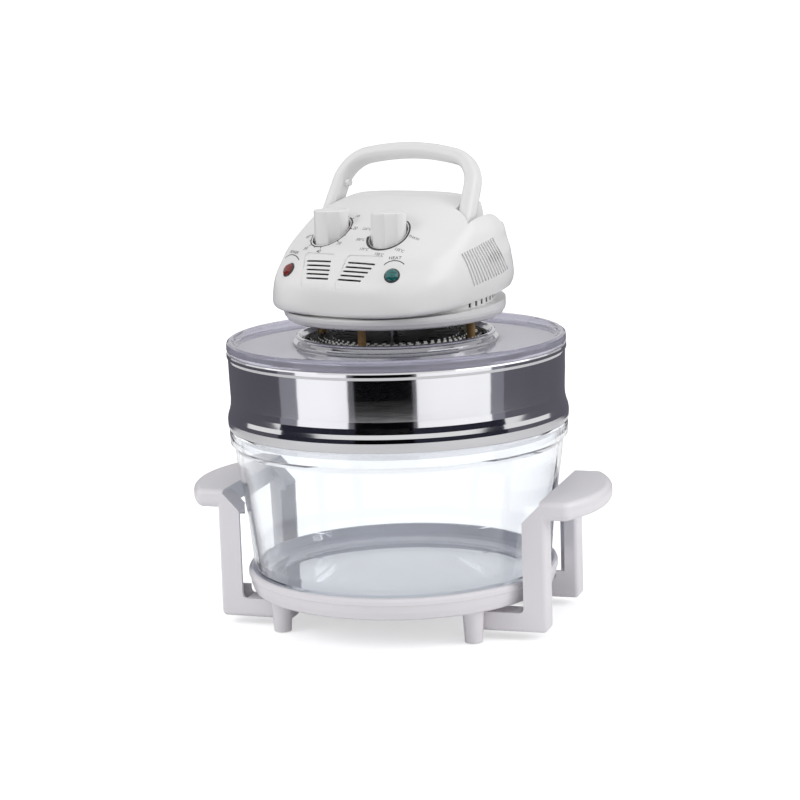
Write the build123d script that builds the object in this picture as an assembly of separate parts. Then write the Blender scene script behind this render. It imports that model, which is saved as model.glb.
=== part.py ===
from build123d import *
import math
import os

os.makedirs("parts", exist_ok=True)

# Countertop convection oven: a glass bowl in a white base tray, a polished steel
# extension ring, and a glass lid that carries a powered head with fan and heater.
# Millimetres, +Z up, origin on the table under the bowl's axis, side handles along X.
# The lid rests freely and is turned on the bowl, so its parts are drawn with the
# controls facing -Y and then turned by LID_TURN about Z.
LID_TURN = -17.75

# Base tray and its side handles
FOOT_X, FOOT_Y = 97.6, 89.0
FOOT_TOP_R, FOOT_R = 10.5, 8.6
PAD_R, PAD_DEPTH, PAD_STEP = 6.2, 3.4, 0.8
TRAY_Z, TRAY_FLOOR = 33.0, 2.8
TRAY_LIP_R, TRAY_LIP_Z = 154.7, 55.6
BOSS_X, BOSS_Y = 104.0, 64.0
HANDLE_OUT, HANDLE_IN = 167.0, 144.0
HANDLE_FRONT, LEG_DEPTH = 76.6, 24.9
HANDLE_BOTTOM, ARM_TOP = 8.0, 27.0
GRIP_Z0, GRIP_Z1 = 117.5, 136.0
GRIP_IN, GRIP_END, GRIP_OUT = 161.0, 188.0, 212.0
WALL = 3.2
BOWL_CLEAR_R = 156.2

# Bowl, steel ring and lid
BOWL_Z = TRAY_Z + TRAY_FLOOR + 0.2
RIM_R = 167.3
BOWL_RIM_Z0, BOWL_RIM_Z1 = 182.0, 197.0
RING_Z1 = 272.6
GLASS = 5.0
LID_Z0 = RING_Z1 + 0.2
LID_TOP = 283.2
LID_GLASS_TOP = 277.5
LID_HOLE_R = 95.4

# Heater pan below the lid and the open neck above it
PAN_R, PAN_Z0, PAN_Z1 = 91.0, 252.0, 282.0
COLLAR_R0, COLLAR_R1, COLLAR_Z1 = 94.6, 98.2, 286.3
POST_R, POST_CIRCLE, POST_START = 4.0, 79.8, 12

# Head base and head cover
BASE_Z = 302.0
BASE_R0, BASE_R1 = 105.5, 109.0
PART_Z, PART_TILT = 323.5, 4.9
BASE_TOP, BASE_TILT = 316.0, 2.0
COVER_WALL = 2.6
# Height, tilt, half width, front depth, back depth, squareness, share of wall taken in height
COVER_SECTIONS = [
    (323.5, 4.9, 103.5, 104.5, 103.0, 3.0, 0.0),
    (328.0, 4.9, 105.0, 106.5, 104.0, 3.1, 0.0),
    (336.0, 4.5, 105.5, 105.5, 105.0, 3.1, 0.0),
    (352.0, 3.5, 104.5, 101.0, 104.0, 3.0, 0.1),
    (362.0, 3.0, 103.5, 93.0, 102.5, 2.9, 0.3),
    (371.0, 2.5, 102.0, 86.0, 100.0, 2.8, 0.4),
    (384.0, 1.5, 100.0, 65.0, 95.0, 2.7, 0.6),
    (394.0, 0.5, 97.0, 47.5, 88.0, 2.6, 0.7),
    (403.0, 0.0, 91.0, 30.0, 79.0, 2.5, 0.8),
    (410.5, 0.0, 79.0, 16.0, 70.0, 2.4, 0.9),
    (416.0, 0.0, 66.0, 6.0, 62.0, 2.3, 1.0),
    (419.0, 0.0, 55.0, -1.0, 54.0, 2.2, 1.0),
]

# Lift handle
PIVOT_Y, PIVOT_Z = 1.0, 384.0
HANDLE_TILT, HANDLE_FOLD = 28.0, 48.0
LEG_X, SHOULDER_X = 83.5, 77.0
SHOULDER_S, CROWN_S = 76.0, 90.0
SHOULDER_BEND, CROWN_BEND = 34.0, 240.0
BAR_W, BAR_D, BAR_ROUND = 14.0, 19.0, 6.0
HUB_R, PIN_R = 10.5, 3.0
SWING_GAP = 1.4
RUNNING_GAP = 0.05

# Controls
KNOB_X, KNOB_Y = 34.0, -53.0
KNOB_R, KNOB_Z0, KNOB_Z1 = 17.2, 372.0, 410.0
KNOB_HOLE_R = 18.8
SPINDLE_R = 3.0
UNIT_Z1 = 360.0
LAMP_X, LAMP_Y, LAMP_Z = 61.5, -88.0, 354.5
LAMP_AZIMUTH, LAMP_RISE, LAMP_R = 24.0, 36.0, 7.2
SLOT_ROWS = 5
FIN_COUNT, FIN_DEPTH = 14, 1.5
LOW_SLOTS = 7

# Motor and fans
SHAFT_R, SHAFT_Z0, SHAFT_Z1 = 3.0, 252.3, 362.0
STATOR_Z0, STATOR_Z1, ROTOR_R = 328.0, 348.0, 12.5
FAN_Z, FAN_R = 257.0, 52.0
COOL_Z, COOL_R = 309.0, 56.0
RAIL_Z0 = 322.0
GLAND_R = 5.5
BULB_R = 2.5
LIP_R = 99.2
COVER_BOSS_R = 88.0
PEG_S, PEG_R = 50.0, 3.5
SWITCH_Y, SWITCH_Z0, PLUNGER_TOP = 46.0, 356.5, 384.9
FLUTE_R, FLUTE_DEPTH = 26.0, 1.8
PLUNGER_R, PLUNGER_Y = 2.4, 46.0


def save(name, shape):
    shape.label = name
    export_step(shape, f"parts/{name}.step")
    print(name, round(shape.volume / 1000, 2), "cm3")


def save_lid(name, shape):
    save(name, Rot(0, 0, LID_TURN) * shape)


def spun(points, smooth_from=None):
    """A full turn about Z of an outline given as radius and height."""
    outline = Polyline(*[(r, 0, z) for r, z in points], close=True)
    return revolve(make_face(outline), Axis.Z, 360)


def tube(r_out, r_in, z0, z1, at=(0, 0)):
    ring = Cylinder(r_out, z1 - z0) - Cylinder(r_in, z1 - z0)
    return Pos(at[0], at[1], (z0 + z1) / 2) * ring


def rod(r, z0, z1, at=(0, 0)):
    return Pos(at[0], at[1], (z0 + z1) / 2) * Cylinder(r, z1 - z0)


def block(x0, x1, y0, y1, z0, z1):
    centre = Pos((x0 + x1) / 2, (y0 + y1) / 2, (z0 + z1) / 2)
    return centre * Box(abs(x1 - x0), abs(y1 - y0), abs(z1 - z0))


def screw(head_r, head_h, shank_r, length):
    """A pan head screw standing on its head at the origin, shank upwards."""
    head = Pos(0, 0, head_h / 2) * Cylinder(head_r, head_h)
    head = fillet(head.edges().group_by(Axis.Z)[0], head_h * 0.45)
    return head + Pos(0, 0, head_h + length / 2) * Cylinder(shank_r, length)


def corners(x, y):
    return [(sx * x, sy * y) for sx in (-1, 1) for sy in (-1, 1)]


def group(shapes):
    return Compound(children=list(shapes))


# Base tray: a shallow dish with a rolled lip on four tapered pegs
def base_tray():
    floor_top = TRAY_Z + TRAY_FLOOR
    dish = spun([
        (0, TRAY_Z), (147.5, TRAY_Z), (150.5, 35.0), (152.6, 41.0), (153.6, 48.0),
        (TRAY_LIP_R, 49.2), (TRAY_LIP_R, 52.6), (153.6, 54.9), (151.8, TRAY_LIP_Z),
        (150.3, 55.0), (149.9, 50.0), (149.4, 43.0), (147.2, 37.4), (143.5, floor_top),
        (0, floor_top),
    ])
    # A shallow ring rib under the floor stiffens it between the pegs
    dish += tube(118.0, 115.5, TRAY_Z - 4, TRAY_Z + 0.5)
    for x, y in corners(FOOT_X, FOOT_Y):
        peg = Cone(FOOT_R, FOOT_TOP_R, TRAY_Z + 0.5 - PAD_STEP)
        dish += Pos(x, y, (TRAY_Z + 0.5 + PAD_STEP) / 2) * peg
        dish -= rod(PAD_R, 0, PAD_STEP + PAD_DEPTH, (x, y))
    for x, y in corners(BOSS_X, BOSS_Y):
        dish += rod(7.0, ARM_TOP, TRAY_Z + 0.5, (x, y))
        dish -= rod(1.7, ARM_TOP - 1, TRAY_Z - 0.6, (x, y))
    return dish


def foot_pads():
    pads = []
    for x, y in corners(FOOT_X, FOOT_Y):
        pad = rod(PAD_R, 0, PAD_STEP + PAD_DEPTH, (x, y))
        pads.append(fillet(pad.edges().group_by(Axis.Z)[0], 0.5))
    return group(pads)


# Side handle: a half-moon grip on two hollow legs whose arms run under the tray
def handle_frame(sign):
    """One leg with its arm, on the side of +Y or -Y that sign gives."""
    mid_y = sign * (HANDLE_FRONT - LEG_DEPTH / 2)
    outline = Polyline(
        (BOSS_X - 10, HANDLE_BOTTOM), (HANDLE_OUT, HANDLE_BOTTOM), (HANDLE_OUT, GRIP_Z1 - 3),
        (GRIP_IN, GRIP_Z1 - 3), (HANDLE_IN, GRIP_Z0 - 2), (HANDLE_IN, ARM_TOP),
        (BOSS_X - 10, ARM_TOP), close=True)
    face = make_face(Plane.XZ * outline)
    low = face.vertices().group_by(Axis.Z)[0].sort_by(Axis.X)
    face = fillet(low[-1], 5.0)
    inner = [v for v in face.vertices() if abs(v.X - HANDLE_IN) < 0.1 and abs(v.Z - ARM_TOP) < 0.1]
    face = fillet(inner, 5.0)
    frame = Pos(0, mid_y, 0) * extrude(face, LEG_DEPTH / 2, dir=(0, 1, 0), both=True)
    upright = [e for e in frame.edges().filter_by(Axis.Z) if e.center().X > HANDLE_OUT - 0.1]
    frame = fillet(upright, 4.5)
    y_near, y_far = sign * (HANDLE_FRONT - LEG_DEPTH), sign * HANDLE_FRONT
    in_near, in_far = y_near + sign * WALL, y_far - sign * WALL
    frame -= block(HANDLE_IN - 4, HANDLE_OUT - WALL, in_near, in_far, HANDLE_BOTTOM + WALL, 112)
    frame -= block(BOSS_X + 12, HANDLE_OUT - 12, in_near, in_far, HANDLE_BOTTOM - 1, ARM_TOP - WALL)
    # The wall that faces the other leg is narrower than the front one
    frame -= block(HANDLE_IN - 4, HANDLE_IN + 9, y_near - sign, in_near + sign * 0.1, 36, 108)
    # Relief that follows the bowl's outside
    frame -= rod(BOWL_CLEAR_R, 36, GRIP_Z0 + 0.5)
    frame -= rod(2.3, HANDLE_BOTTOM - 1, ARM_TOP + 1, (BOSS_X, sign * BOSS_Y))
    frame -= rod(5.2, HANDLE_BOTTOM - 1, ARM_TOP - 6, (BOSS_X, sign * BOSS_Y))
    return frame


def handle_grip():
    bow = ThreePointArc((GRIP_END, -HANDLE_FRONT), (GRIP_OUT, 0), (GRIP_END, HANDLE_FRONT))
    back = Polyline((GRIP_END, HANDLE_FRONT), (GRIP_IN, HANDLE_FRONT), (GRIP_IN, -HANDLE_FRONT),
                    (GRIP_END, -HANDLE_FRONT))
    face = make_face(Plane.XY * (bow + back))
    ends = face.vertices().group_by(Axis.X)[-1]
    face = fillet(ends, 9.0)
    slab = Pos(0, 0, GRIP_Z0) * extrude(face, GRIP_Z1 - GRIP_Z0)
    rims = [e for e in slab.edges() if abs(e.center().Z - GRIP_Z1) < 0.1 and e.center().X > GRIP_IN + 1]
    slab = fillet(rims, 6.5)
    rims = [e for e in slab.edges() if abs(e.center().Z - GRIP_Z0) < 0.1 and e.center().X > GRIP_IN + 1]
    slab = fillet(rims, 8.0)
    return slab


def side_handle():
    # The frames stop below the grip's rounded top edge and inside its ends
    return handle_grip() + handle_frame(1) + handle_frame(-1)


def handle_screws():
    top = ARM_TOP - 6
    return group(Pos(x, y, top - 2.6) * screw(4.2, 2.6, 1.7, 11.0) for x, y in corners(BOSS_X, BOSS_Y))


# Glass bowl with a thick rim
def glass_bowl():
    return spun([
        (0, BOWL_Z), (124, BOWL_Z), (133, 37.6), (140, 41.2), (145, 47.0), (147.9, 55.0),
        (149.3, 64.0), (151.5, 91.0), (154.4, 116.0), (158.6, 143.0), (161.6, 165.0),
        (162.6, 177.5), (165.0, 181.0), (RIM_R, BOWL_RIM_Z0 + 1.5), (RIM_R, BOWL_RIM_Z1 - 1.6),
        (RIM_R - 1.4, BOWL_RIM_Z1), (RIM_R - 7.2, BOWL_RIM_Z1), (RIM_R - 8.6, BOWL_RIM_Z1 - 1.6),
        (158.0, 185.0), (157.4, 177.0), (156.6, 165.0), (153.6, 143.0), (149.4, 116.0),
        (146.5, 91.0), (144.3, 66.0), (142.4, 56.5), (139.0, 49.8), (134.0, 45.6),
        (124.0, 42.6), (0, 42.6),
    ])


# Polished ring: rolled top bead, drawn-in neck, flared foot and a lip inside the bowl
def extension_ring():
    sheet = 1.2
    outer = [
        (165.0, RING_Z1), (166.6, RING_Z1 - 0.5), (167.2, RING_Z1 - 1.8), (167.2, RING_Z1 - 4.6),
        (166.5, RING_Z1 - 6.0), (166.0, RING_Z1 - 7.4), (165.6, 246.0), (164.9, 226.0),
        (165.3, 220.0), (166.6, 214.5), (168.0, 210.5), (168.6, 206.5), (168.4, 201.5),
        (168.0, BOWL_RIM_Z1 + 1.0), (167.4, BOWL_RIM_Z1 + 0.3),
    ]
    seat = [(157.9, BOWL_RIM_Z1 + 0.3), (156.6, BOWL_RIM_Z1 - 1.5), (156.6, BOWL_RIM_Z1 - 8.0)]
    inner = [(r - sheet, z) for r, z in outer[5:-2]]
    back = [(155.4, BOWL_RIM_Z1 - 8.0), (155.4, BOWL_RIM_Z1 - 0.8), (157.3, BOWL_RIM_Z1 + 1.5)]
    foot = [(166.4, BOWL_RIM_Z1 + 1.5)]
    lip = [(163.9, RING_Z1)]
    shoulder = [(163.9, RING_Z1 - 6.2)]
    return spun(lip + outer + seat + back + foot + inner[::-1] + shoulder)


def lid_glass():
    under = LID_GLASS_TOP - GLASS
    return spun([
        (LID_HOLE_R, LID_GLASS_TOP), (156.0, LID_GLASS_TOP), (158.8, 279.2), (160.2, 281.8),
        (161.8, LID_TOP), (164.6, LID_TOP), (166.6, 281.6), (RIM_R - 0.2, 279.4),
        (RIM_R - 0.2, 275.4), (165.8, LID_Z0), (163.4, LID_Z0), (163.4, LID_Z0 - 4.2),
        (162.4, LID_Z0 - 5.2), (159.4, LID_Z0 - 5.2), (157.6, LID_Z0 - 3.4), (155.4, under),
        (LID_HOLE_R, under),
    ])


# The metal neck through the lid: collar above the glass, clamp ring below it
def lid_collar():
    seat = LID_GLASS_TOP + 1.2
    return spun([
        (92.2, 271.0), (93.4, 271.0), (93.4, seat), (101.0, seat), (101.0, seat + 1.0),
        (COLLAR_R0 + 0.4, seat + 1.0), (COLLAR_R1, COLLAR_Z1 - 2.4), (COLLAR_R1, COLLAR_Z1 - 0.8),
        (COLLAR_R1 - 1.2, COLLAR_Z1), (COLLAR_R1 - 3.2, COLLAR_Z1 - 0.2), (93.6, COLLAR_Z1 - 2.2),
        (92.2, COLLAR_Z1 - 5.0),
    ])


def lid_gasket():
    top = LID_GLASS_TOP + 1.2
    return tube(101.0, LID_HOLE_R, LID_GLASS_TOP, top)


def clamp_ring():
    under = LID_GLASS_TOP - GLASS
    flange = tube(104.0, 93.4, under - 1.6, under)
    holes = [rod(1.9, under - 3, under + 1, xy) for xy in circle_points(98.8, 4, 45)]
    for hole in holes:
        flange -= hole
    return flange


def circle_points(radius, count, start=0.0):
    """Points on a circle about Z, counted from the front (-Y) towards +X."""
    turns = [math.radians(start + 360.0 * i / count) for i in range(count)]
    return [(radius * math.sin(t), -radius * math.cos(t)) for t in turns]


# Heater pan: an open spun can that hangs below the lid around fan and element
def heater_pan():
    flange_top = LID_GLASS_TOP - GLASS - 1.6
    pan = tube(PAN_R, PAN_R - 1.0, PAN_Z0, PAN_Z1)
    pan += tube(103.0, PAN_R - 0.5, flange_top - 1.0, flange_top)
    pan += tube(PAN_R + 2.2, PAN_R - 1.0, PAN_Z0, PAN_Z0 + 1.2)
    for xy in circle_points(98.8, 4, 45):
        pan -= rod(1.9, flange_top - 2, flange_top + 1, xy)
    return pan


def pan_screws():
    low = LID_GLASS_TOP - GLASS - 1.6 - 1.0 - 2.2
    return group(Pos(x, y, low) * screw(3.6, 2.2, 1.8, 2.6) for x, y in circle_points(98.8, 4, 45))


def heat_shield():
    """The slotted plate that closes the pan's top."""
    plate = tube(PAN_R - 1.0, 7.0, PAN_Z1 - 1.2, PAN_Z1)
    plate += tube(PAN_R - 1.0, PAN_R - 2.2, PAN_Z1 - 6.0, PAN_Z1)
    rim_slots = [Rot(0, 0, 10 * i) * Pos(0, 85.6, PAN_Z1) * Box(7.5, 2.8, 6) for i in range(36)]
    spokes = [Rot(0, 0, 22.5 * i) * Pos(0, 52, PAN_Z1) * Box(3.4, 22, 6) for i in range(16)]
    plate -= rim_slots + spokes
    for xy in circle_points(POST_CIRCLE, 4, POST_START):
        plate -= rod(1.8, PAN_Z1 - 3, PAN_Z1 + 1, xy)
    for x, y in element_legs():
        plate -= rod(4.5, PAN_Z1 - 8, PAN_Z1 + 1, (x, y))
    return plate - rod(BULB_R, PAN_Z1 - 8, PAN_Z1 + 1, (KNOB_X, KNOB_Y))


def spacer_posts():
    posts = []
    for x, y in circle_points(POST_CIRCLE, 4, POST_START):
        posts.append(tube(POST_R, 1.75, PAN_Z1, BASE_Z, (x, y)))
    return group(posts)


def post_screws():
    low = PAN_Z1 - 1.2 - 2.2
    return group(Pos(x, y, low) * screw(3.4, 2.2, 1.7, 24.0) for x, y in circle_points(POST_CIRCLE, 4, POST_START))


# Tubular element: nearly a full turn round the fan, two legs up through the shield
ELEMENT_R, ELEMENT_TUBE, ELEMENT_Z = 74.0, 3.2, 266.0
LEG_ANGLE, ELEMENT_TURN = 6.2, 45.0


def element_legs():
    turns = [math.radians(ELEMENT_TURN + a) for a in (-LEG_ANGLE, LEG_ANGLE)]
    return [(ELEMENT_R * math.cos(t), ELEMENT_R * math.sin(t)) for t in turns]


def heating_element():
    start = Pos(ELEMENT_R, 0, ELEMENT_Z) * Rot(90, 0, 0) * Circle(ELEMENT_TUBE)
    bend = revolve(Rot(0, 0, ELEMENT_TURN + LEG_ANGLE) * start, Axis.Z, 360 - 2 * LEG_ANGLE)
    for x, y in element_legs():
        bend += Pos(x, y, ELEMENT_Z) * Sphere(ELEMENT_TUBE)
        bend += rod(ELEMENT_TUBE, ELEMENT_Z, PAN_Z1 + 12, (x, y))
    return bend


def element_bushes():
    bushes = []
    for x, y in element_legs():
        bush = tube(4.5, ELEMENT_TUBE + 0.02, PAN_Z1 - 3.0, PAN_Z1 + 8.0, (x, y))
        bushes.append(bush + tube(6.6, ELEMENT_TUBE + 0.02, PAN_Z1, PAN_Z1 + 2.0, (x, y)))
    return group(bushes)


def element_leads():
    """Sleeved leads from the element's ends up into the head."""
    return group(rod(1.7, PAN_Z1 + 12, BASE_Z + 6, xy) for xy in element_legs())


def wire_guard():
    z0, z1 = PAN_Z0 - 3.4, PAN_Z0 - 1.0
    guard = tube(PAN_R + 1.8, PAN_R - 0.8, z0, z1)
    for r in (26, 48, 70):
        guard += tube(r + 1.1, r - 1.1, z0, z1)
    for i in range(4):
        guard += Rot(0, 0, 45 * i) * Pos(0, 0, (z0 + z1) / 2) * Box(2 * PAN_R, 2.2, z1 - z0)
    guard += rod(9.0, z0, z1)
    for i in range(4):
        guard += Rot(0, 0, 90 * i) * block(PAN_R - 0.8, PAN_R + 1.8, -4, 4, z0, PAN_Z0)
    return guard


# Motor shaft with its rotor, and the two fans that turn with it
def motor_shaft():
    shaft = rod(SHAFT_R, SHAFT_Z0, SHAFT_Z1)
    shaft += rod(ROTOR_R, STATOR_Z0, STATOR_Z1)
    return shaft


def convection_fan():
    fan = tube(9.0, SHAFT_R, FAN_Z, FAN_Z + 12)
    fan += tube(FAN_R, 8.0, FAN_Z + 10.6, FAN_Z + 12)
    for i in range(8):
        blade = Pos(33, 0, FAN_Z + 6) * Rot(0, 0, 24) * Box(34, 1.2, 10)
        fan += Rot(0, 0, 45 * i) * blade
    return fan


def fan_nut():
    nut = extrude(RegularPolygon(5.0, 6), 4.0) - Cylinder(SHAFT_R, 20)
    return Pos(0, 0, FAN_Z - 4.0) * nut


def cooling_fan():
    fan = tube(8.0, SHAFT_R, COOL_Z, COOL_Z + 9)
    fan += tube(COOL_R, 7.0, COOL_Z, COOL_Z + 1.4)
    for i in range(10):
        blade = Pos(38, 0, COOL_Z + 5.4) * Rot(0, 0, -20) * Box(32, 1.4, 9)
        fan += Rot(0, 0, 36 * i) * blade
    return fan


def motor_stator():
    """Laminated stack with its bore and the window that the coil passes through."""
    stack = block(-30, 30, -22, 40, STATOR_Z0, STATOR_Z1)
    upright = stack.edges().filter_by(Axis.Z)
    stack = fillet(upright, 4)
    stack -= rod(ROTOR_R + 0.6, STATOR_Z0 - 1, STATOR_Z1 + 1)
    stack -= block(-18, 18, 18, 30, STATOR_Z0 - 1, STATOR_Z1 + 1)
    return stack


def motor_coil():
    coil = block(-17.5, 17.5, 20.5, 49, STATOR_Z0 - 8, STATOR_Z1 + 8)
    coil = fillet(coil.edges().filter_by(Axis.X), 3)
    coil -= block(-30, 30, 30, 40, STATOR_Z0, STATOR_Z1)
    return coil


def bracket_arm(z0, z1):
    arm = block(-26, 26, -14, 14, z0, z1)
    arm += rod(9.0, z0, z1 + 3.0)
    return arm - rod(5.0, z0 - 1, z1 + 4)


def motor_rail():
    """The bridge that carries the motor above the cooling fan."""
    rail = block(-72, 72, -14, 14, RAIL_Z0, RAIL_Z0 + 2)
    rail += rod(9.0, RAIL_Z0 - 3, RAIL_Z0 + 2)
    for s in (-1, 1):
        rail += block(s * 70, s * 72, -14, 14, BASE_Z + 3, RAIL_Z0 + 2)
        rail += block(s * 62, s * 72, -14, 14, BASE_Z + 3, BASE_Z + 5)
        rail -= rod(2.0, BASE_Z + 2, BASE_Z + 6, (s * 66, 0))
        rail -= rod(2.0, RAIL_Z0 - 1, RAIL_Z0 + 3, (s * 25, 0))
        rail += rod(3.4, RAIL_Z0 + 1, STATOR_Z0, (s * 25, 0)) - rod(2.0, RAIL_Z0, STATOR_Z0 + 1, (s * 25, 0))
    return rail - rod(5.0, RAIL_Z0 - 4, RAIL_Z0 + 3)


def motor_top_bridge():
    z0 = STATOR_Z1 + 4
    bridge = block(-30, 30, -12, 12, z0, z0 + 2)
    for s in (-1, 1):
        bridge += rod(3.4, STATOR_Z1, z0 + 0.5, (s * 25, 0))
        bridge -= rod(2.0, STATOR_Z1 - 1, z0 + 3, (s * 25, 0))
    bridge += rod(9.0, z0, z0 + 5)
    return bridge - rod(5.0, z0 - 1, z0 + 6)


def motor_bearings():
    low = tube(5.0, SHAFT_R + RUNNING_GAP, RAIL_Z0 - 3, RAIL_Z0 + 2)
    top = STATOR_Z1 + 4
    return group([low, tube(5.0, SHAFT_R + RUNNING_GAP, top, top + 5)])


def rail_screws():
    return group(Pos(s * 66, 0, BASE_Z + 5 + 2.2) * Rot(180, 0, 0) * screw(3.6, 2.2, 2.0, 4.6) for s in (-1, 1))


# Head base: the level disc under the cover, its wall cut to the tilted parting line
def tilted_slab(z, tilt, depth):
    """A wide slab below a plane that leans back by tilt degrees at the height z."""
    return Pos(0, 0, z) * Rot(tilt, 0, 0) * Pos(0, 0, -depth / 2) * Box(320, 320, depth)


def head_base():
    shelf = tilted_slab(BASE_TOP, BASE_TILT, 3.0)
    below_top = tilted_slab(BASE_TOP, BASE_TILT, 60)
    below_lip = tilted_slab(PART_Z + 3.0, PART_TILT, 60)
    above_shelf = tilted_slab(BASE_TOP + 60, BASE_TILT, 61)
    base = spun([
        (22.0, BASE_Z), (BASE_R0 - 2.5, BASE_Z), (BASE_R0, BASE_Z + 1.4), (BASE_R1 - 0.8, BASE_Z + 5.5),
        (BASE_R1, BASE_Z + 8.5), (BASE_R1, 340), (BASE_R1 - 3.5, 340), (BASE_R1 - 3.5, BASE_Z + 9),
        (BASE_R0 - 4.0, BASE_Z + 3), (22.0, BASE_Z + 3),
    ])
    base &= below_top
    base += tube(BASE_R1 - 0.5, LIP_R - 3.0, BASE_Z, 340) & shelf
    base += (tube(LIP_R, LIP_R - 3.0, BASE_Z, 345) & below_lip) & above_shelf
    base -= [place * Box(16, 3.4, 5.4) for place in low_slot_places()]
    base -= gland_place() * Cylinder(GLAND_R, 30)
    base -= [Rot(0, 0, 30 * i + 15) * Pos(0, 42, BASE_Z + 1) * Box(4, 26, 8) for i in range(12)]
    for x, y in circle_points(POST_CIRCLE, 4, POST_START):
        base += rod(5.0, BASE_Z + 2, BASE_Z + 8, (x, y))
        base -= rod(1.7, BASE_Z - 1, BASE_Z + 6, (x, y))
    for x, y in element_legs():
        base -= rod(2.6, BASE_Z - 1, BASE_Z + 4, (x, y))
    base -= rod(2.0, BASE_Z - 1, BASE_Z + 4, (KNOB_X, KNOB_Y))
    for s in (-1, 1):
        base -= rod(2.0, BASE_Z - 1, BASE_Z + 4, (s * 66, 0))
    for x, y in circle_points(COVER_BOSS_R, 4, 45):
        base -= rod(2.0, BASE_Z - 1, BASE_Z + 4, (x, y))
        base -= rod(4.2, BASE_Z - 1, BASE_Z + 1.4, (x, y))
    base += block(-84, -76, SWITCH_Y - 6, SWITCH_Y + 4, BASE_Z + 2, SWITCH_Z0)
    return base


def low_slot_places():
    """Seven small air slots low on each flank, between base and cover."""
    places = []
    for s in (-1, 1):
        for i in range(LOW_SLOTS):
            turn = math.radians(82 + 5.6 * i)
            x, y = s * 98 * math.sin(turn), -98 * math.cos(turn)
            low = BASE_TOP + y * math.tan(math.radians(BASE_TILT))
            high = PART_Z + y * math.tan(math.radians(PART_TILT))
            angle = math.degrees(math.atan2(y, x))
            places.append(Pos(x, y, (low + high) / 2) * Rot(0, 0, angle))
    return places


# Head cover: a soft rounded housing, wide and flat-sided, lowest at the front
def superellipse(section, inset):
    z, tilt, half_w, front, back, power, lift = section
    centre_y = (back - front) / 2
    half_d = (back + front) / 2 - inset
    half_w = half_w - inset
    count = 20
    points = []
    for i in range(count):
        t = 2 * math.pi * i / count
        c, s = math.cos(t), math.sin(t)
        x = half_w * math.copysign(abs(c) ** (2 / power), c)
        y = half_d * math.copysign(abs(s) ** (2 / power), s)
        points.append((x, centre_y + y))
    loop = Spline(*points, periodic=True)
    return Pos(0, 0, z - lift * inset) * Rot(tilt, 0, 0) * make_face(loop)


def dome(inset):
    sections = list(COVER_SECTIONS)
    if inset:
        low = list(sections[0])
        low[0] -= 8
        sections = [tuple(low)] + sections
    return loft([superellipse(s, inset) for s in sections])


def handle_path():
    """Centre line of the lift handle in its own plane, width and height from the pivot."""
    return FilletPolyline(
        (-LEG_X, 0), (-SHOULDER_X, SHOULDER_S), (0, CROWN_S), (SHOULDER_X, SHOULDER_S), (LEG_X, 0),
        radius=[SHOULDER_BEND, CROWN_BEND, SHOULDER_BEND])


def to_pivot(tilt):
    """Place a shape drawn round the pivot axis, leant back by tilt degrees."""
    return Pos(0, PIVOT_Y, PIVOT_Z) * Rot(-tilt, 0, 0)


def swing_room(gap):
    """The space the lift handle needs from upright to folded, with a gap all round."""
    half = BAR_W / 2 + gap
    leaning_back = Axis((0, 0, 0), (-1, 0, 0))
    margin = 12
    sweep_arc = HANDLE_FOLD + 2 * margin
    path = handle_path()
    loop = make_face(path.edges() + [Line(path @ 1, path @ 0)])
    band = (offset(loop, half) - offset(loop, -half)) - Pos(0, -40) * Rectangle(400, 112)
    room = to_pivot(HANDLE_TILT - margin) * revolve(Plane.XZ * band, leaning_back, sweep_arc)
    rest = math.radians(HANDLE_TILT)
    end = math.radians(HANDLE_TILT + HANDLE_FOLD)
    deep = BAR_D / 2 + gap
    front = (-deep * math.cos(rest), deep * math.sin(rest))
    under = (deep * math.cos(end), -deep * math.sin(end))
    reach = 130
    wedge = Polyline(
        front, (front[0] + reach * math.sin(rest), front[1] + reach * math.cos(rest)), (reach, reach),
        (under[0] + reach * math.sin(end), under[1] + reach * math.cos(end)), under, close=True)
    side = make_face(Plane.YZ * wedge) + Plane.YZ * Circle(HUB_R + gap)
    for s in (-1, 1):
        slot = extrude(side, half + 1.0, both=True)
        room += Pos(s * LEG_X, PIVOT_Y, PIVOT_Z) * slot
    peg_half = PEG_R + gap
    peg_path = Plane.XZ * Pos(-71, PEG_S - peg_half + 20) * Rectangle(9 + 2 * gap, 40)
    room += to_pivot(HANDLE_TILT - margin) * revolve(peg_path, leaning_back, sweep_arc)
    return room


def louvre_cuts():
    """Two mirrored groups of five slots in the lower front."""
    cuts = []
    for row in range(SLOT_ROWS):
        z = 366.5 - 5.0 * row
        outer = 40.5 - 2.0 * row
        inner = 10.0 - 1.1 * row
        for s in (-1, 1):
            slot = Box(outer - inner, 40, 1.9)
            slot = fillet(slot.edges().filter_by(Axis.Y), 0.9)
            cuts.append(Pos(s * (outer + inner) / 2, -92, z) * Rot(-24, 0, 0) * slot)
    return cuts


def louvre_fields():
    """The two shallow fields round the slots."""
    fields = []
    for s in (-1, 1):
        outline = Polyline((s * 4.0, 341), (s * 36.0, 341), (s * 46.0, 371), (s * 7.5, 371), close=True)
        face = make_face(Plane.XZ * outline)
        face = fillet(face.vertices(), 3)
        fields.append(Pos(0, -70, 0) * extrude(face, 50, dir=(0, -1, 0)))
    return fields


def flank_x(y, z):
    """Half width of the cover at the depth y and the height z, from its sections."""
    rows = []
    for height, tilt, half_w, front, back, power, lift in COVER_SECTIONS:
        centre, half_d = (back - front) / 2, (back + front) / 2
        level = height + y * math.tan(math.radians(tilt))
        side = half_w * (1 - abs((y - centre) / half_d) ** power) ** (1 / power)
        rows.append((level, side))
    for (z0, x0), (z1, x1) in zip(rows, rows[1:]):
        if z0 <= z <= z1:
            return x0 + (x1 - x0) * (z - z0) / (z1 - z0)
    return rows[0][1]


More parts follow.
